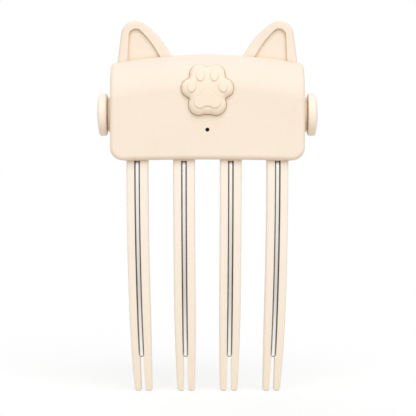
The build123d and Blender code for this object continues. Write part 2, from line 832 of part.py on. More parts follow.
def board_screws():
    """Two screws that hold the board to its posts."""
    back = board_front_y + board_thickness
    screws = []
    for side in (-1, 1):
        x = side * board_post_x
        shank = depth_rod(board_screw_radius, x, board_post_z, back - board_screw_length, back)
        head = depth_rod(board_screw_head, x, board_post_z, back, back + board_screw_head_height)
        screws.append(shank + head)
    return screws


def tact_switch():
    """Small push switch with the well that its stem slides in."""
    front = board_front_y - switch_height
    half = switch_size / 2
    body = span_box((-half, half), (front, board_front_y), (button_z - half, button_z + half))
    well_end = front + stem_sunk + button_travel + stem_end_room
    return body - depth_rod(stem_radius + stem_clearance, 0, button_z, front - 1, well_end)


def switch_stem():
    """The switch's stem, between the plunger and the switch."""
    front = board_front_y - switch_height
    return depth_rod(stem_radius, 0, button_z, front - stem_proud, front + stem_sunk)


def status_light():
    """The light on the board behind the lens."""
    half = light_width / 2
    depth = (board_front_y - light_height, board_front_y)
    return span_box((-half, half), depth, (light_z - half, light_z + half))


def battery_cell():
    """Flat rechargeable cell across the top of the body."""
    cell = span_box(
        (-cell_length / 2, cell_length / 2),
        (cell_front_y, cell_front_y + cell_depth),
        (cell_bottom, cell_bottom + cell_height),
    )
    return fillet(cell.edges().filter_by(Axis.X), cell_round)


def battery_tray():
    """Shelf under the cell from end wall to end wall, with a stop at each end of the cell."""
    top = cell_bottom - tray_clearance
    shelf_end = half_width - wall - tray_clearance
    back = cell_front_y + cell_depth
    tray = span_box((-shelf_end, shelf_end), (cell_front_y, back), (top - tray_thickness, top))
    for side in (-1, 1):
        stop = cell_length / 2 + tab_thickness + tray_stop_gap
        ends = sorted((side * stop, side * (stop + tray_stop)))
        stop_z = (top - tray_thickness / 2, top + tray_stop_height)
        tray += span_box(ends, (cell_front_y + 1, back - 1), stop_z)
    return tray


def cell_tabs():
    """Metal strips from the cell's ends to the board."""
    tabs = []
    board_back = board_front_y + board_thickness
    for side in (-1, 1):
        ends = sorted((side * cell_length / 2, side * (cell_length / 2 + tab_thickness)))
        tab_z = (cell_bottom + tab_rise, cell_bottom + tab_rise + tab_height)
        tabs.append(span_box(ends, (board_back, cell_front_y + tab_reach), tab_z))
    return tabs


def charge_socket():
    """Metal shell of the charging socket, closed at its inner end."""
    back = back_y - socket_inset
    outer = front_prism(Pos(0, socket_z) * oval(socket_width, socket_height), back - socket_depth, back)
    inner_face = oval(socket_width - 2 * socket_wall, socket_height - 2 * socket_wall)
    return outer - front_prism(Pos(0, socket_z) * inner_face, back - socket_depth + socket_wall, back + 1)


def socket_tongue():
    """Contact tongue in the middle of the socket."""
    inner = back_y - socket_inset - socket_depth + socket_wall
    half_w, half_h = tongue_width / 2, tongue_height / 2
    return span_box((-half_w, half_w), (inner, inner + tongue_length), (socket_z - half_h, socket_z + half_h))


def charge_board():
    """Small board that the socket stands on, on two ribs of the rear shell."""
    top = socket_z - socket_height / 2
    front = back_y - wall - charge_board_depth - tray_clearance
    half = charge_board_width / 2
    return span_box((-half, half), (front, front + charge_board_depth), (top - charge_board_thickness, top))


def housing_screws():
    """Four screws from behind."""
    screws = []
    for shank in case_posts(screw_seat_y - screw_length, screw_seat_y, screw_radius):
        x, z = shank.center().X, shank.center().Z
        head = depth_rod(screw_head_radius, x, z, screw_seat_y, screw_seat_y + screw_head_height)
        screws.append(shank + head)
    return screws


def thermistor():
    """Bead on the strip board that senses the heat."""
    middle_z = strip_board_top + bead_size[2] / 2
    return Pos(fork_pitch, fork_middle_y, middle_z) * Box(*bead_size)


def write(name, shape):
    """Write one piece, or one group of separate like pieces, as a file of its own."""
    solids = shape if isinstance(shape, list) else [shape]
    whole = Compound(children=[solid for item in solids for solid in item.solids()])
    whole.label = name
    export_step(whole, os.path.join("parts", name + ".step"))


os.makedirs("parts", exist_ok=True)
shell = case_shell()
write("front_housing", front_housing(shell))
write("rear_housing", rear_housing(shell))
write("paw_button", paw_button())
write("indicator_lens", lens())
fork_solid = fork()
rod = heater_rod()
core = rod_solid(core_radius, rod_reach - core_end_gap - 0.3, rod_rise)
for number, (x, turn) in enumerate(fork_places(), start=1):
    write(f"fork_{number}", at_fork(fork_solid, x, turn))
    write(f"heater_rod_{number}", at_fork(rod, x, turn))
write("heater_cores", [at_fork(core, x, turn) for x, turn in fork_places()])
write("rod_terminals", [rod_terminal(x, turn) for x, turn in fork_places()])
write("fork_carrier", fork_carrier())
write("heater_board", strip_board())
write("thermistor", thermistor())
write("clamp_jaw", clamp_jaw())
write("lever_pad", thumb_pad())
write("grip_pads", [at_fork(grip_pad(), x, turn) for x, turn in fork_places()])
write("torsion_spring", torsion_spring())
write("pivot_shaft", pivot_shaft())
for side, name in ((-1, "left"), (1, "right")):
    write(f"knob_{name}", knob(side))
    write(f"end_bush_{name}", end_bush(side))
write("main_board", main_board())
write("board_screws", board_screws())
write("tact_switch", tact_switch())
write("switch_stem", switch_stem())
write("status_light", status_light())
write("battery_cell", battery_cell())
write("battery_tray", battery_tray())
write("cell_tabs", cell_tabs())
write("charge_socket", charge_socket())
write("socket_tongue", socket_tongue())
write("charge_board", charge_board())
write("housing_screws", housing_screws())
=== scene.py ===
# %% [markdown]
# # Heated root volumizing clip
#
# The clip is a cream body with two ears, a push button and four forked teeth, with a polished heater rod in
# each fork. The photograph shows only the front. The sprung jaw behind the forks, which presses the hair
# against them, and everything inside the body are guesses. The frame gives every solid at its modelled size
# and place. This script gives the solids their finishes, makes anew the few pieces whose form is finer than
# the solid, and sets up the light and the camera.

import json
import math

import bmesh
import bpy
from mathutils import Matrix, Vector
from mathutils.bvhtree import BVHTree


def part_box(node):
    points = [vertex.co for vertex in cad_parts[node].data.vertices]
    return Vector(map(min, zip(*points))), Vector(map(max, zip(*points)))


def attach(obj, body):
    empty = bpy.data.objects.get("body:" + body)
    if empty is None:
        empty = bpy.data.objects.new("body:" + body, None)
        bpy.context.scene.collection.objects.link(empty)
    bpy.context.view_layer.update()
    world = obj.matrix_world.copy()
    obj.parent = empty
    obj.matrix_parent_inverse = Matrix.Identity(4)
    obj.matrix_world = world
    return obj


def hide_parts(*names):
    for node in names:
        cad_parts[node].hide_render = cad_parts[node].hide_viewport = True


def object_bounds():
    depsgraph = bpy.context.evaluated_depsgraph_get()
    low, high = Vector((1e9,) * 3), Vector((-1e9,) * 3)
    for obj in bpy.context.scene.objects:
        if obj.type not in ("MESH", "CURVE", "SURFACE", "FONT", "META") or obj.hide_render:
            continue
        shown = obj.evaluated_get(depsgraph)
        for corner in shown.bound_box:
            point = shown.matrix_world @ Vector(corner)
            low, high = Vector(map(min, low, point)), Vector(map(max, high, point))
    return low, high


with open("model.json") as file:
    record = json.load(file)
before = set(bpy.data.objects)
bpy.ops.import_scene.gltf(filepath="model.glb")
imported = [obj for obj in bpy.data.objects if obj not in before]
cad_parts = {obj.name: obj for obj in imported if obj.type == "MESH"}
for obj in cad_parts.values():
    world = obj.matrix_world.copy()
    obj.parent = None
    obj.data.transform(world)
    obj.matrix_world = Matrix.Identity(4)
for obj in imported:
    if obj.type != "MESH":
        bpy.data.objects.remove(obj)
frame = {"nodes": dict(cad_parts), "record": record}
cad_box = [list(corner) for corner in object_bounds()]
nodes = frame["nodes"]
mm = 0.001
scene = bpy.context.scene
print("pieces in the frame:", len(nodes))

# %% [markdown]
# ## Camera
#
# The picture was taken from straight ahead with a long lens: the sides of the ears hardly show, and the
# knobs show only their rims. Between the forks nothing of the body's underside shows, so the camera stood
# about level with it. Here it stands 2 mm lower, which at this distance doesn't show, and looks down by about
# a degree at the middle of the clip. Its lens is chosen so that the picture is as wide as the photographed
# frame at the body's face.

# %% Place the camera
face_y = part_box("front_housing")[0].y
camera_distance = 600 * mm
camera_height = -2.0 * mm
frame_width = 138.4 * mm
frame_middle = Vector((0.2 * mm, face_y, -15.7 * mm))
sensor_width = 36.0
camera_data = bpy.data.cameras.new("camera")
camera_data.sensor_width = sensor_width
camera_data.lens = sensor_width * camera_distance / frame_width
camera_data.clip_start = 10 * mm
camera = bpy.data.objects.new("camera", camera_data)
camera.location = (frame_middle.x, face_y - camera_distance, camera_height)
camera.rotation_euler = (frame_middle - camera.location).to_track_quat("-Z", "Y").to_euler()
scene.collection.objects.link(camera)
scene.camera = camera
print("lens", round(camera_data.lens, 1), "mm")

# %% [markdown]
# ## Shader maths as expressions
#
# A finish is a tree of small nodes. Written one by one, the nodes hide the idea. So one class wraps an
# output socket and lets Python's own +, - and * add the Math nodes, and every other node comes from one
# method, which first applies the node's settings and then gives its sockets their values or links.


# %% Wrap a socket
class Wire:
    """One output socket in a tree of nodes. Arithmetic on it adds Math nodes."""

    def __init__(self, tree, socket):
        self.tree = tree
        self.socket = socket

    def __add__(self, other):
        return self.tree.maths("ADD", self, other)

    def __sub__(self, other):
        return self.tree.maths("SUBTRACT", self, other)

    def __rsub__(self, other):
        return self.tree.maths("SUBTRACT", other, self)

    def __mul__(self, other):
        return self.tree.maths("MULTIPLY", self, other)

    __radd__ = __add__
    __rmul__ = __mul__

    def clamped(self, low, high):
        """The value mapped so that low becomes 0 and high becomes 1, and cut off outside them."""
        return self.tree.node("ShaderNodeMapRange", {"clamp": True}, {"Value": self, 1: low, 2: high})


# %% Grow a tree of nodes
class Tree:
    """The nodes of a material or of the world. Their sockets take plain values or wires."""

    def __init__(self, node_tree):
        self.node_tree = node_tree

    def join(self, target, value):
        """Gives a socket a plain value, or links a wire to it."""
        if isinstance(value, Wire):
            self.node_tree.links.new(value.socket, target)
        else:
            target.default_value = value

    def node(self, kind, settings=None, inputs=None, output=0):
        """Adds a node with its settings and inputs, and gives one of its outputs as a wire."""
        node = self.node_tree.nodes.new(kind)
        for name, value in (settings or {}).items():
            setattr(node, name, value)
        for key, value in (inputs or {}).items():
            self.join(node.inputs[key], value)
        return Wire(self, node.outputs[output])

    def maths(self, operation, *values):
        return self.node("ShaderNodeMath", {"operation": operation}, dict(enumerate(values)))

    def mix(self, factor, first, second):
        """A colour between two, by a factor. A colour is three numbers or a wire."""
        first, second = (side if isinstance(side, Wire) else (*side, 1) for side in (first, second))
        # A Mix node has sockets for every kind of value. Those for colours are inputs 6 and 7 and output 2.
        return self.node("ShaderNodeMix", {"data_type": "RGBA"}, {0: factor, 6: first, 7: second}, 2)

    def in_view(self):
        """1 for rays from the camera, off a gloss or through something clear, and 0 for scattered light."""
        seen = self.node("ShaderNodeLightPath", output="Is Camera Ray")
        for ray in ("Is Glossy Ray", "Is Transmission Ray"):
            seen = self.maths("MAXIMUM", seen, self.node("ShaderNodeLightPath", output=ray))
        return seen


# %% [markdown]
# ## What all finishes share
#
# Every finish of the clip is built round one Principled shader and varies a little over the surface. The
# patterns read the place on the object, so they don't need the surface unrolled. To bevel every edge of every
# piece would be heavy, so a Bevel node rounds the edges in the shading alone. Compared with the true
# direction of the surface it also tells where the edges are, as an Ambient Occlusion node tells where the
# creases are.

# %% Build a finish
bevel_samples = 4
crease_samples = 6
finishes = {}


class Finish(Tree):
    """A material that is being built round one Principled shader. It is kept under its slot's name."""

    def __init__(self, slot, colour, roughness, **constants):
        self.material = bpy.data.materials.new(slot + "_finish")
        self.material.use_nodes = True
        self.material.diffuse_color = (*colour, 1)
        super().__init__(self.material.node_tree)
        self.shader = self.node_tree.nodes["Principled BSDF"]
        self.colour = colour
        self.set("Base Color", (*colour, 1))
        self.set("Roughness", roughness)
        for socket, value in constants.items():
            self.set(socket.replace("_", " "), value)
        finishes[slot] = self.material

    def set(self, socket, value):
        """Gives the shader's socket a plain value or a wire."""
        self.join(self.shader.inputs[socket], value)

    def place(self):
        """A point's place on the object, in metres."""
        return self.node("ShaderNodeTexCoord", output="Object")

    def height(self):
        """A point's height on the object, in metres."""
        return self.node("ShaderNodeSeparateXYZ", {}, {"Vector": self.place()}, "Z")

    def clouds(self, size, detail=2.0, stretch=(1, 1, 1)):
        """Soft random patches about as large as size, from 0 to 1. A stretch under 1 draws them out."""
        spot = self.node("ShaderNodeMapping", {}, {"Vector": self.place(), "Scale": stretch})
        return self.node("ShaderNodeTexNoise", {}, {"Vector": spot, "Scale": 1 / size, "Detail": detail})

    def rounded_normal(self, radius):
        """The direction of the surface, with sharp edges rounded by a radius."""
        return self.node("ShaderNodeBevel", {"samples": bevel_samples}, {"Radius": radius})

    def edges(self, radius):
        """1 along sharp edges and 0 on flats: where the rounded direction leaves the true one."""
        true = self.node("ShaderNodeNewGeometry", output="Normal")
        both = {0: self.rounded_normal(radius), 1: true}
        same = self.node("ShaderNodeVectorMath", {"operation": "DOT_PRODUCT"}, both, "Value")
        return (1 - same).clamped(0.01, 0.25)

    def creases(self, reach):
        """1 deep in a crease and 0 in the open: how much of the surroundings within reach is solid."""
        settings = {"samples": crease_samples}
        open_sky = self.node("ShaderNodeAmbientOcclusion", settings, {"Distance": reach}, "AO")
        return (1 - open_sky).clamped(0.06, 0.50)

    def bump(self, height, depth, strength=1.0, rounding=0.0):
        """Raises the surface by height, from 0 to 1, times depth in metres, and softens its sharp edges."""
        inputs = {"Height": height, "Distance": depth, "Strength": strength}
        if rounding:
            inputs["Normal"] = self.rounded_normal(rounding)
        self.set("Normal", self.node("ShaderNodeBump", {}, inputs))


# %% [markdown]
# ## Colours
#
# Light is added up in linear values, but a colour is judged by eye on a screen, so colours that are compared
# with the photograph are written as the screen shows them and turned into linear ones.


# %% Define colours
def screen(red, green, blue):
    """A colour as a picture shows it, from 0 to 255, turned into the linear values that light uses."""
    return tuple(((value / 255 + 0.055) / 1.055) ** 2.4 for value in (red, green, blue))


def tinted(colour, factors):
    """A colour with each channel times a factor of its own, and never past full."""
    return tuple(min(channel * part, 1.0) for channel, part in zip(colour, factors))


def shade(colour, factor):
    """A colour made lighter or darker."""
    return tinted(colour, (factor,) * 3)


cream = screen(246, 234, 221)
print("cream as light:", [round(channel, 3) for channel in cream])

# %% [markdown]
# ## Moulded plastic
#
# The body, the button, the knobs, the forks and the jaw are moulded in one warm cream, but not in one
# finish. The body and the jaw have the deepest grain, the button's is finer, and the knobs and the forks are
# smoother still and a little glossier. On all of them the gloss varies in patches. All but the button have
# softly rounded edges, and these also draw the fine seam between the two halves of the body.
#
# Three tones are painted light and shade, there only to match the photograph. Creases carry a little painted
# tan shade, apart from the tips of the forks, where they only stand on the floor. The walls of the slots
# carry painted brown shade, because the gap beside each rod reads as a dark line. The forks carry painted
# light, which turns them paler towards their tips, because this light leaves them darker than the photograph
# does: the real forks may curve less than the solids.
#
# One function makes the family, so that its finishes stay relatives. What only the forks have is a function
# of its own, which that one calls.

# %% Define moulded plastic
patch_size = 14 * mm
mottle_size = 1.6 * mm
edge_reach = 0.5 * mm
edge_paling = 0.35
# The painted shade in creases: how far it looks for them, its tan and its strength.
crease_reach = 1.6 * mm
painted_crease_shade = (0.68, 0.53, 0.31)
crease_shade_strength = 0.36
floor_z = cad_box[0][2]
floor_fade = 2 * mm


def moulded_plastic(slot, colour, roughness, grain_size, grain_depth, rounding=0.25 * mm, tones=None):
    """A plastic with a fine grain, patches of gloss, slightly polished edges and painted tan shade in its
    creases.
    """
    finish = Finish(slot, colour, roughness, IOR=1.5, Specular_IOR_Level=0.35)
    patches = finish.clouds(patch_size)
    mottle = finish.clouds(mottle_size, detail=3.0)
    grain = finish.clouds(grain_size)
    worn = finish.edges(edge_reach)
    tone = (patches * 0.6 + mottle * 0.4).clamped(0.3, 0.7)
    toned = finish.mix(tone, shade(colour, 0.978), shade(colour, 1.012))
    toned = finish.mix(worn * edge_paling, toned, shade(colour, 1.03))
    off_the_floor = finish.height().clamped(floor_z, floor_z + floor_fade)
    crease = finish.creases(crease_reach) * off_the_floor
    # Painted shade: creases turn a little tan, apart from where the piece stands on the floor.
    toned = finish.mix(crease * crease_shade_strength, toned, tinted(colour, painted_crease_shade))
    if tones:
        toned = tones(finish, toned)
    finish.set("Base Color", toned)
    finish.set("Roughness", patches * 0.12 + mottle * 0.06 + (roughness - 0.09) - worn * 0.08)
    finish.bump(grain * 0.8 + mottle * 0.2, grain_depth, rounding=rounding)


# %% Define the tones of the forks
rod_end_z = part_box("heater_rod_1")[0].z
# The painted light that makes the forks paler towards their tips.
tip_painted_light = (1.05, 1.035, 0.985)
tip_light_strength = 0.8
tip_light_from_z = rod_end_z + 40 * mm
# The painted brown shade on the slot walls, and the height over which it fades out at the rods' lower ends.
slot_painted_shade = (0.18, 0.14, 0.10)
slot_shade_strength = 0.5
slot_shade_fade = 2 * mm


def fork_tones(finish, toned):
    """Paints light that makes the forks paler towards their tips, and paints brown shade on the walls of
    their slots as far down as the rods.
    """
    height = finish.height()
    near_tips = height.clamped(tip_light_from_z, floor_z)
    # Painted light: paler towards the tips.
    toned = finish.mix(near_tips * tip_light_strength, toned, tinted(finish.colour, tip_painted_light))
    beside_rod = height.clamped(rod_end_z, rod_end_z + slot_shade_fade)
    wall = finish.node("ShaderNodeAttribute", {"attribute_name": "slot_wall"}, output="Fac")
    # Painted shade: brown on the slot walls beside the rods.
    return finish.mix(wall * beside_rod * slot_shade_strength, toned, slot_painted_shade)


# %% Make the plastics
moulded_plastic("cream_shell", cream, 0.50, 0.28 * mm, 0.012 * mm)
moulded_plastic("cream_button", screen(249, 237, 221), 0.46, 0.22 * mm, 0.008 * mm, rounding=0)
moulded_plastic("cream_knob", screen(252, 243, 232), 0.38, 0.20 * mm, 0.006 * mm)
moulded_plastic("cream_fork", screen(252, 244, 236), 0.42, 0.24 * mm, 0.006 * mm, tones=fork_tones)
moulded_plastic("cream_jaw", screen(247, 231, 213), 0.50, 0.28 * mm, 0.012 * mm)
moulded_plastic("bush_plastic", screen(246, 229, 209), 0.34, 0.20 * mm, 0.005 * mm)
moulded_plastic("carrier_plastic", screen(238, 220, 200), 0.55, 0.35 * mm, 0.015 * mm)
moulded_plastic("switch_black", (0.018, 0.018, 0.02), 0.42, 0.2 * mm, 0.006 * mm)
moulded_plastic("light_white", (0.84, 0.82, 0.78), 0.3, 0.3 * mm, 0.003 * mm)
print("plastics:", len(finishes))

# %% [markdown]
# ## Metals
#
# The heater rods are made as drawn tube, polished along their length. Fine streaks run along the tube, so the
# noise is stretched many times along Z before it reaches the roughness and the bump. In the photograph the
# tube is bright towards both ends, duller in between, and dark where it leaves the body and round its lower
# end. The finish paints those tones into the tube's colour: the duller middle is a painted dimmer reflection,
# and the dark root and lower end are painted shade.
#
# No other metal shows in the photograph. The rest look as such parts usually do: a ground shaft, a spring of
# drawn wire, plated screws, a foil wrap on the cell, and gold on the contacts.

# %% Define drawn metal
haze_size = 6 * mm


def drawn_metal(slot, colour, roughness, stretch, streak_size=0.12 * mm, depth=0.002 * mm, tones=None):
    """A bare metal with patches of haze and fine specks, which the stretch draws out into streaks."""
    finish = Finish(slot, colour, roughness, Metallic=1.0)
    streaks = finish.clouds(streak_size, detail=3.0, stretch=stretch)
    patches = finish.clouds(haze_size)
    toned = finish.mix(patches.clamped(0.3, 0.7), shade(colour, 0.94), colour)
    if tones:
        toned = tones(finish, toned)
    finish.set("Base Color", toned)
    finish.set("Roughness", streaks * 0.10 + patches * 0.06 + (roughness - 0.05))
    finish.bump(streaks, depth, strength=0.6)


# %% Define the tones of the rods
# The painted reflection, dimmer in the middle of the rods, and the painted shade at their root and lower end.
painted_dim_reflection = (0.60, 0.585, 0.57)
dim_reflection_strength = 0.75
dimming_from_z = -4 * mm
dimmest_z = -40 * mm
bright_end_length = 22 * mm
rod_painted_shade = (0.05, 0.04, 0.03)
root_shade_strength = 0.9
root_dark_from_z = -1.3 * mm
root_darkest_z = -0.3 * mm
end_shade_strength = 0.75
end_dark_length = 0.6 * mm
end_darkest_length = 0.2 * mm


def rod_tones(finish, toned):
    """Paints a dimmer reflection on the middle of the rods, and paints shade where they leave the body and at
    their lower end.
    """
    height = finish.height()
    below_root = height.clamped(dimming_from_z, dimmest_z)
    above_end = height.clamped(rod_end_z, rod_end_z + bright_end_length)
    # Painted reflection: dimmer between the rod's ends.
    dimmed = finish.mix(below_root * above_end * dim_reflection_strength, toned, painted_dim_reflection)
    root = height.clamped(root_dark_from_z, root_darkest_z)
    # Painted shade where the rod leaves the body.
    darkened = finish.mix(root * root_shade_strength, dimmed, rod_painted_shade)
    lower_end = height.clamped(rod_end_z + end_dark_length, rod_end_z + end_darkest_length)
    # Painted shade round the rod's lower end.
    return finish.mix(lower_end * end_shade_strength, darkened, rod_painted_shade)


# %% Make the metals
plastic_count = len(finishes)
drawn_metal("rod_steel", (0.97, 0.965, 0.95), 0.14, (1, 1, 0.02), tones=rod_tones)
drawn_metal("shaft_steel", (0.62, 0.62, 0.61), 0.28, (0.05, 1, 1))
drawn_metal("spring_steel", (0.45, 0.44, 0.42), 0.32, (1, 1, 1))
drawn_metal("screw_steel", (0.52, 0.51, 0.49), 0.36, (1, 0.3, 1))
drawn_metal("socket_steel", (0.66, 0.66, 0.65), 0.24, (1, 0.05, 1))
drawn_metal("tab_nickel", (0.60, 0.58, 0.54), 0.30, (1, 0.1, 1))
drawn_metal("terminal_brass", (0.62, 0.45, 0.18), 0.30, (1, 1, 0.1))
drawn_metal("contact_gold", (0.85, 0.62, 0.26), 0.22, (1, 0.1, 1))
drawn_metal("cell_wrap", (0.52, 0.54, 0.57), 0.42, (0.3, 1, 1), streak_size=0.6 * mm, depth=0.02 * mm)
print("metals:", len(finishes) - plastic_count)

# %% [markdown]
# ## Boards, rubber, ceramic and the dark lens
#
# Of these the photograph shows only the lens. The pads can be seen from behind, and the others if the case is
# opened in a drawing, so they are finished too. The solder mask lets the copper tracks underneath show as
# slightly paler, raised lanes: a brick pattern is close enough to that. The rubber is dead matt, with faint
# patches and fine pores, and the strips that grip the hair have fine ribs as well. A sine of the height makes
# the ribs.


# %% Define the other finishes
def printed_board(slot, colour, track_colour):
    """A green board whose copper tracks show through as paler, raised lanes."""
    finish = Finish(slot, colour, 0.34, Specular_IOR_Level=0.5)
    lanes = finish.node("ShaderNodeTexBrick", {"offset": 0.5}, {
        "Vector": finish.place(), "Scale": 260.0, "Mortar Size": 0.09, "Mortar Smooth": 0.2,
        "Color1": (0, 0, 0, 1), "Color2": (0.25, 0.25, 0.25, 1), "Mortar": (1, 1, 1, 1),
    })
    track = lanes.clamped(0.1, 0.9)
    finish.set("Base Color", finish.mix(track, colour, track_colour))
    finish.set("Roughness", finish.clouds(3 * mm) * 0.1 + 0.28)
    finish.bump(track, 0.02 * mm)


def soft_rubber(slot, colour, rib_pitch=None):
    """A dead matt rubber, with fine ribs across Z where their pitch is given."""
    finish = Finish(slot, colour, 0.8, Specular_IOR_Level=0.25)
    patches = finish.clouds(1.4 * mm, detail=4.0)
    pores = finish.clouds(0.18 * mm)
    finish.set("Base Color", finish.mix(patches.clamped(0.35, 0.7), shade(colour, 0.98), shade(colour, 1.03)))
    finish.set("Roughness", patches * 0.1 + 0.72)
    if rib_pitch:
        ribs = finish.maths("SINE", finish.height() * (math.tau / rib_pitch))
        finish.bump(ribs * 0.47 + pores * 0.06 + 0.47, 0.12 * mm)
    else:
        finish.bump(pores, 0.01 * mm, rounding=0.15 * mm)


def fired_ceramic(slot, colour):
    """A dry, speckled ceramic."""
    finish = Finish(slot, colour, 0.6)
    specks = finish.clouds(0.4 * mm, detail=4.0)
    finish.set("Base Color", finish.mix(specks.clamped(0.35, 0.7), shade(colour, 0.93), colour))
    finish.set("Roughness", specks * 0.2 + 0.5)
    finish.bump(specks, 0.01 * mm)


def smoked_lens(slot, colour, swirl_colour):
    """A nearly black plastic window with a faint swirl."""
    finish = Finish(slot, colour, 0.25, Specular_IOR_Level=0.2)
    swirl = finish.clouds(0.5 * mm)
    finish.set("Base Color", finish.mix(swirl, colour, swirl_colour))
    finish.set("Roughness", swirl * 0.1 + 0.2)
    finish.bump(swirl, 0.002 * mm)


# %% Make the other finishes
printed_board("board_green", (0.012, 0.105, 0.055), (0.03, 0.19, 0.09))
soft_rubber("soft_pad", screen(232, 211, 190))
soft_rubber("ribbed_pad", screen(226, 204, 182), rib_pitch=1.2 * mm)
fired_ceramic("heater_board_white", (0.76, 0.75, 0.71))
fired_ceramic("core_ceramic", (0.70, 0.66, 0.60))
smoked_lens("lens_black", (0.004, 0.004, 0.005), (0.012, 0.011, 0.011))
print("finishes:", len(finishes))

# %% [markdown]
# ## Smooth copies of the solids
#
# A solid comes from the frame as loose flat triangles. Its own mesh is never changed. A copy has its doubled
# points merged, its curved faces shaded smooth and its sharp edges marked, and a Weighted Normal modifier
# lets the large flat faces keep their own direction. The copy then stands for the solid.

# %% Define a piece
body_of_node = {node: body for body, held in frame["record"]["behaviour"]["bodies"].items() for node in held}
slot_of_node = {part["node"]: part["material_slot"] for part in frame["record"]["subparts"]}
finish_of_node = {"grip_pads": "ribbed_pad"}
print("bodies:", sorted(set(body_of_node.values())))


def mark_smooth(build, sharp_angle):
    """Shades every face smooth and marks the edges that turn by more than an angle in degrees."""
    for face in build.faces:
        face.smooth = True
    for edge in build.edges:
        edge.smooth = len(edge.link_faces) == 2 and edge.calc_face_angle(0) < math.radians(sharp_angle)


def new_piece(name, build, body, slot, replaced=(), finish=None):
    """Turns a bmesh into an object that rides on a body and has its slot's finish, or another one."""
    mesh = bpy.data.meshes.new(name)
    build.to_mesh(mesh)
    build.free()
    piece = bpy.data.objects.new(name, mesh)
    scene.collection.objects.link(piece)
    mesh.materials.append(finishes[finish or slot])
    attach(piece, body)
    if replaced:
        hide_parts(*replaced)
    return piece


# %% Define a smooth copy
solid_sharp_angle = 38
solid_merge_distance = 0.0005 * mm


def merged_copy(node):
    """The solid's triangles as one connected bmesh."""
    build = bmesh.new()
    build.from_mesh(nodes[node].data)
    bmesh.ops.remove_doubles(build, verts=build.verts, dist=solid_merge_distance)
    return build


def stand_for(node, build, name):
    """Turns a copy of a solid, as it is or worked on, into the piece that stands for the solid."""
    mark_smooth(build, solid_sharp_angle)
    piece = new_piece(name, build, body_of_node[node], slot_of_node[node], [node], finish_of_node.get(node))
    modifier = piece.modifiers.new("even_normals", "WEIGHTED_NORMAL")
    modifier.keep_sharp = True
    modifier.weight = 100


# %% [markdown]
# ## Pieces that need no more
#
# A few solids are plain stand-ins for a finer form: the spring is a sleeve, the screws have no drive and the
# thumb pad has no grooves. The forks have to be marked for their finish. Every other solid already has its
# full form, and gets a smooth copy.

# %% Copy the finished solids
made_anew = {"torsion_spring", "housing_screws", "lever_pad"}
forks = [node for node in nodes if node.startswith("fork_") and node != "fork_carrier"]
copied = sorted(set(nodes) - made_anew - set(forks))
for node in copied:
    stand_for(node, merged_copy(node), node + "_smooth")
print("smooth copies:", len(copied))

# %% [markdown]
# ## Forks with marked slots
#
# The finish of the forks paints brown shade on the walls of the slots, so it has to know which faces are
# walls. Their place alone doesn't tell it, because the forks curve and fan out. A wall is a face that lies
# close to the rod and looks at it, and a tree of the rod's faces finds the nearest point of the rod for each.
# The answer is kept on the mesh as an attribute of the face's corners, so that it ends sharply at the slot's
# rim.

# %% Mark the slot walls
slot_reach = 1.3 * mm
least_facing = 0.25


def is_slot_wall(face, rod_tree):
    """Whether a face looks at the rod from close by."""
    middle = face.calc_center_median()
    nearest, _, _, distance = rod_tree.find_nearest(middle)
    return distance < slot_reach and face.normal.dot((nearest - middle).normalized()) > least_facing


for node in forks:
    rod = merged_copy(node.replace("fork", "heater_rod"))
    rod_tree = BVHTree.FromBMesh(rod)
    rod.free()
    build = merged_copy(node)
    build.normal_update()
    mark = build.loops.layers.float.new("slot_wall")
    walls = [face for face in build.faces if is_slot_wall(face, rod_tree)]
    for face in walls:
        for loop in face.loops:
            loop[mark] = 1.0
    stand_for(node, build, node + "_smooth")
    print(node, "slot wall faces:", len(walls))

# %% [markdown]
# ## Torsion spring
#
# Such a spring is one wire wound round the shaft, with a straight leg at each end. A full turn of a small
# circle about an axis that also moves along it gives a helix, and bmesh's spin does exactly that: it turns a
# profile and shifts it by a step each time. The legs are the end circles, extruded on. A real spring bends
# as the jaw opens, but this one is rigid. So its legs are shorter than the solid's: the one towards the back
# stays clear of the jaw's arm when the jaw is wide open, and the other is only a stub towards the front.

# %% Measure the spring
shaft_low, shaft_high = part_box("pivot_shaft")
axis_y = (shaft_low.y + shaft_high.y) / 2
axis_z = (shaft_low.z + shaft_high.z) / 2
wire_radius = 0.4 * mm
wire_sides = 10
coil_outer_radius = 2.7 * mm
coil_radius = coil_outer_radius - wire_radius
coil_turns = 12
steps_per_turn = 28
coil_steps = coil_turns * steps_per_turn
leg_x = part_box("torsion_spring")[1].x - wire_radius
coil_step = Vector((-2 * leg_x / coil_steps, 0, 0))
back_leg = Vector((0, 4.5 * mm, 0.3 * mm))
front_leg = Vector((0, -0.6 * mm, 0.3 * mm))
print("coil length:", round(2 * leg_x / mm, 1), "mm")


# %% Wind the spring
def of_kind(items, kind):
    """The vertices, edges or faces among what an operator made."""
    return [item for item in items if isinstance(item, kind)]


def wire_ring(build, centre, axis):
    """A ring of the wire's section about a point, facing along an axis."""
    turn = Vector((0, 0, 1)).rotation_difference(axis).to_matrix().to_4x4()
    place = Matrix.Translation(centre) @ turn
    made = bmesh.ops.create_circle(
        build, segments=wire_sides, radius=wire_radius, cap_ends=False, matrix=place
    )
    return [edge for edge in build.edges if all(vert in made["verts"] for vert in edge.verts)]


def pull(build, ring, shift):
    """Extrudes an open ring of edges along a straight line."""
    made = bmesh.ops.extrude_edge_only(build, edges=ring)
    bmesh.ops.translate(build, verts=of_kind(made["geom"], bmesh.types.BMVert), vec=shift)


def open_edges_of(build):
    """The edges that have a face on one side only."""
    return [edge for edge in build.edges if edge.is_boundary]


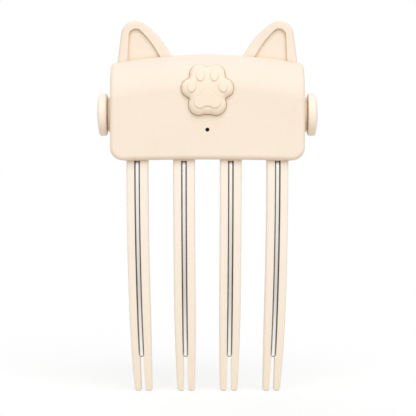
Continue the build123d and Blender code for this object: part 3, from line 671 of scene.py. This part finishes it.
build = bmesh.new()
start = Vector((leg_x, axis_y, axis_z + coil_radius))
coil = bmesh.ops.spin(
    build, geom=wire_ring(build, start, Vector((0, 1, 0))), cent=(0, axis_y, axis_z), axis=(1, 0, 0),
    dvec=coil_step, angle=-math.tau * coil_turns, steps=coil_steps, use_duplicate=False,
)
pull(build, of_kind(coil["geom_last"], bmesh.types.BMEdge), back_leg)
first_ring = [edge for edge in open_edges_of(build) if edge.verts[0].co.x > leg_x - 2 * wire_radius]
pull(build, first_ring, front_leg)
bmesh.ops.holes_fill(build, edges=open_edges_of(build), sides=0)
bmesh.ops.recalc_face_normals(build, faces=build.faces)
mark_smooth(build, sharp_angle=50)
new_piece("spring_wire", build, "body", "spring_steel", ["torsion_spring"])
print("spring turns:", coil_turns)

# %% [markdown]
# ## Case screws
#
# Four small screws close the case from behind, deep in round wells. Each has a pan head with a cross
# recess. The screw is an outline spun once round its axis, and the cross is cut by two crossed tapered bars.
# The bars run through each other, so the Boolean modifier is told to expect that: without it, nothing of the
# screws would be left.

# %% Turn the screws
screw_low, screw_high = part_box("housing_screws")
head_radius = 1.75 * mm
head_height = 1.4 * mm
head_y = screw_high.y - head_height
shank_radius = 0.95 * mm
shank_length = 8.0 * mm
screw_sides = 40
screw_merge_distance = 0.001 * mm
screw_outline = [
    (0, -shank_length), (0.35 * mm, 0.1 * mm - shank_length), (shank_radius, 1.0 * mm - shank_length),
    (shank_radius, 0), (head_radius - 0.1 * mm, 0), (head_radius, 0.1 * mm), (head_radius, 0.7 * mm),
    (head_radius - 0.12 * mm, 1.05 * mm), (head_radius - 0.5 * mm, 1.3 * mm), (0.6 * mm, head_height),
    (0, head_height),
]
screw_places = [
    (x, z)
    for x in (screw_low.x + head_radius, screw_high.x - head_radius)
    for z in (screw_low.z + head_radius, screw_high.z - head_radius)
]


def spun_outline(build, points, centre):
    """Spins an outline, given as radius and distance along +Y, once round an axis along Y."""
    verts = [build.verts.new((centre.x + radius, centre.y + along, centre.z)) for radius, along in points]
    edges = [build.edges.new(pair) for pair in zip(verts, verts[1:])]
    bmesh.ops.spin(
        build, geom=verts + edges, cent=centre, axis=(0, 1, 0), angle=math.tau, steps=screw_sides,
        use_merge=True,
    )
    bmesh.ops.remove_doubles(build, verts=build.verts, dist=screw_merge_distance)


build = bmesh.new()
for x, z in screw_places:
    spun_outline(build, screw_outline, Vector((x, head_y, z)))
bmesh.ops.recalc_face_normals(build, faces=build.faces)
screws = new_piece("cross_screws", build, "body", "screw_steel", ["housing_screws"])
print("screws:", len(screw_places))

# %% Cut the cross recesses
bar_size = (2.0 * mm, 1.4 * mm, 0.42 * mm)
bar_taper = (0.5, 1, 0.7)


def cross_cutter(places):
    """Two crossed bars for each screw, tapered towards the screw's middle."""
    build = bmesh.new()
    for x, z in places:
        for turn in (45, 135):
            bar = bmesh.ops.create_cube(build, size=1.0)["verts"]
            bmesh.ops.scale(build, verts=bar, vec=bar_size)
            bmesh.ops.scale(build, verts=[vert for vert in bar if vert.co.y < 0], vec=bar_taper)
            bmesh.ops.rotate(build, verts=bar, matrix=Matrix.Rotation(math.radians(turn), 3, "Y"))
            bmesh.ops.translate(build, verts=bar, vec=(x, screw_high.y, z))
    mesh = bpy.data.meshes.new("cross_cutter")
    build.to_mesh(mesh)
    build.free()
    return bpy.data.objects.new("cross_cutter", mesh)


cutter = cross_cutter(screw_places)
scene.collection.objects.link(cutter)
boolean = screws.modifiers.new("cross", "BOOLEAN")
boolean.object = cutter
boolean.operation = "DIFFERENCE"
boolean.solver = "EXACT"
boolean.use_self = True
bpy.context.view_layer.update()
cut_mesh = bpy.data.meshes.new_from_object(screws.evaluated_get(bpy.context.evaluated_depsgraph_get()))
screws.modifiers.clear()
screws.data = cut_mesh
bpy.data.objects.remove(cutter)
build = bmesh.new()
build.from_mesh(cut_mesh)
bmesh.ops.remove_doubles(build, verts=build.verts, dist=screw_merge_distance)
mark_smooth(build, sharp_angle=35)
build.to_mesh(cut_mesh)
build.free()
print("faces of the cut screws:", len(cut_mesh.polygons))

# %% [markdown]
# ## Thumb pad
#
# The squeeze lever carries a soft pad with cross ribs, which keep a thumb from slipping. Ribs that stood
# proud would leave the solid, so grooves are sunk between them instead. The pad's copy is bisected along
# the sides of every groove, and the faces between them are extruded inwards. All of it is measured in the
# lever's own lean, which the pad's largest outward face gives.

# %% Measure the thumb pad
groove_count = 6
groove_pitch = 1.15 * mm
groove_width = 0.5 * mm
groove_depth = 0.35 * mm
groove_reach = 12.2 * mm
cut_tolerance = 0.0001 * mm
backward_facing = 0.5
outward_facing = 0.99
build = merged_copy("lever_pad")
build.normal_update()
backward_faces = [face for face in build.faces if face.normal.y > backward_facing]
outward = max(backward_faces, key=lambda face: face.calc_area()).normal.copy()
up_the_lean = Vector((1, 0, 0)).cross(outward)
pad_low, pad_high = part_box("lever_pad")
pad_middle = (pad_low + pad_high) / 2
groove_heights = [(index - (groove_count - 1) / 2) * groove_pitch for index in range(groove_count)]
print("lean of the pad:", round(math.degrees(outward.angle(Vector((0, 1, 0)))), 1), "degrees")


# %% Groove the thumb pad
def cut(build, place, direction):
    """Splits every face that a plane crosses."""
    everything = build.verts[:] + build.edges[:] + build.faces[:]
    bmesh.ops.bisect_plane(build, geom=everything, dist=cut_tolerance, plane_co=place, plane_no=direction)


def in_a_groove(face):
    """Whether a face of the pad's outer side lies between the sides of a groove."""
    middle = face.calc_center_median()
    height = (middle - pad_middle).dot(up_the_lean)
    near = min(abs(height - groove) for groove in groove_heights) < groove_width / 2
    return face.normal.dot(outward) > outward_facing and near and abs(middle.x) < groove_reach


for height in groove_heights:
    for side in (-1, 1):
        cut(build, pad_middle + up_the_lean * (height + side * groove_width / 2), up_the_lean)
for side in (-1, 1):
    cut(build, Vector((side * groove_reach, 0, 0)), Vector((1, 0, 0)))
grooved = [face for face in build.faces if in_a_groove(face)]
made = bmesh.ops.extrude_face_region(build, geom=grooved)
bmesh.ops.translate(build, verts=of_kind(made["geom"], bmesh.types.BMVert), vec=-outward * groove_depth)
bmesh.ops.delete(build, geom=[face for face in grooved if face.is_valid], context="FACES")
bmesh.ops.recalc_face_normals(build, faces=build.faces)
print("faces sunk:", len(grooved), "edges left open:", sum(not edge.is_manifold for edge in build.edges))
stand_for("lever_pad", build, "thumb_pad")

# %% [markdown]
# ## Contact strips of the charging socket
#
# The socket's tongue carries a row of gold contacts on its upper and its lower side. Each is a thin bar with
# softened edges, laid on the tongue, and all are one piece.

# %% Lay the contact strips
tongue_low, tongue_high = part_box("socket_tongue")
strip_count = 8
strip_size = Vector((0.34 * mm, 3.2 * mm, 0.05 * mm))
strip_softening = 0.015 * mm
strip_setback = 2.0 * mm
row_margin = 0.45 * mm
strip_pitch = (tongue_high.x - tongue_low.x - 2 * row_margin) / (strip_count - 1)
build = bmesh.new()
for index in range(strip_count):
    strip_x = (index - (strip_count - 1) / 2) * strip_pitch
    for strip_z in (tongue_low.z, tongue_high.z):
        bar = bmesh.ops.create_cube(build, size=1.0)["verts"]
        bmesh.ops.scale(build, verts=bar, vec=strip_size)
        bmesh.ops.translate(build, verts=bar, vec=(strip_x, tongue_high.y - strip_setback, strip_z))
bmesh.ops.bevel(
    build, geom=build.edges[:], offset=strip_softening, segments=1, profile=0.5, affect="EDGES", material=-1
)
mark_smooth(build, sharp_angle=50)
new_piece("contact_strips", build, "body", "terminal_brass", finish="contact_gold")
print("contact strips:", 2 * strip_count, "at a pitch of", round(strip_pitch / mm, 2), "mm")

# %% [markdown]
# ## Light
#
# The light in the photograph reads as a white tent with a broad lamp high in front: every face is bright, and
# the creases and the faces that look down turn warm and darker. The world gives the tent's light, which is a
# little warm, because the shadows in the photograph are. A sun with a wide angle stands for the lamp, because
# its light is even over the floor too. It comes from about 43 degrees above the horizon, which is told by the
# short shadow that the body lays on the roots of the forks. A weaker one behind keeps the back from going
# dull. To the camera and in every gloss the world is pure white, and the suns don't show in a gloss, so the
# rods reflect white and not the lamps.

# %% Light the scene
tent_light = (0.52, 0.506, 0.484)
white = (1, 1, 1)
key_strength = 1.74
key_width = 48
key_from = Vector((0.10, -0.74, 0.70))
fill_strength = 0.80
fill_width = 60
fill_from = Vector((-0.30, 0.85, 0.42))
world = bpy.data.worlds.new("tent")
scene.world = world
world.use_nodes = True
tent = Tree(world.node_tree)
tent.join(world.node_tree.nodes["Background"].inputs["Color"], tent.mix(tent.in_view(), tent_light, white))
scene.view_settings.view_transform = "Standard"


def wide_sun(name, strength, width, source):
    """A sun of a width in degrees, unseen in any gloss. Gives the light that it lays on the floor."""
    data = bpy.data.lights.new(name, "SUN")
    data.energy = strength
    data.angle = math.radians(width)
    lamp = bpy.data.objects.new(name, data)
    lamp.visible_glossy = False
    lamp.rotation_euler = source.to_track_quat("Z", "Y").to_euler()
    scene.collection.objects.link(lamp)
    return strength / math.pi * source.normalized().z


on_floor = wide_sun("key", key_strength, key_width, key_from)
on_floor += wide_sun("fill", fill_strength, fill_width, fill_from)
print("key above the horizon:", round(math.degrees(math.asin(key_from.normalized().z))), "degrees")
print("light on the floor:", [round(channel + on_floor, 3) for channel in tent_light])

# %% [markdown]
# ## Floor
#
# The camera sees the floor as grey paper with a glow of its own, which makes up the rest to the tent's white.
# A shadow takes away only from the paper's share, so it stays faint. Light that bounces from the floor is
# held back and warm instead, because the lower edges of the clip are darker in the photograph, so little
# light came from below. From below the paper is clear, so that the clip can be looked at from there too.

# %% Lay the floor
floor_reach = 20.0
floor_paper = (0.36,) * 3
floor_bounce = (0.76, 0.69, 0.59)
no_glow = (0, 0, 0)
build = bmesh.new()
bmesh.ops.create_grid(build, x_segments=1, y_segments=1, size=floor_reach)
bmesh.ops.translate(build, verts=build.verts, vec=(0, 0, floor_z))
floor_mesh = bpy.data.meshes.new("floor")
build.to_mesh(floor_mesh)
build.free()
floor = bpy.data.objects.new("floor", floor_mesh)
scene.collection.objects.link(floor)
finish = Finish("floor_paper", floor_paper, 1.0, Specular_IOR_Level=0.0)
seen = finish.in_view()
finish.set("Base Color", finish.mix(seen, floor_bounce, floor_paper))
glow = [max(0.0, 1.0 - paper * (channel + on_floor)) for paper, channel in zip(floor_paper, tent_light)]
finish.set("Emission Color", finish.mix(seen, no_glow, glow))
finish.set("Emission Strength", 1.0)
finish.set("Alpha", 1 - finish.node("ShaderNodeNewGeometry", output="Backfacing"))
floor_mesh.materials.append(finish.material)
print("floor glow:", [round(channel, 3) for channel in glow])
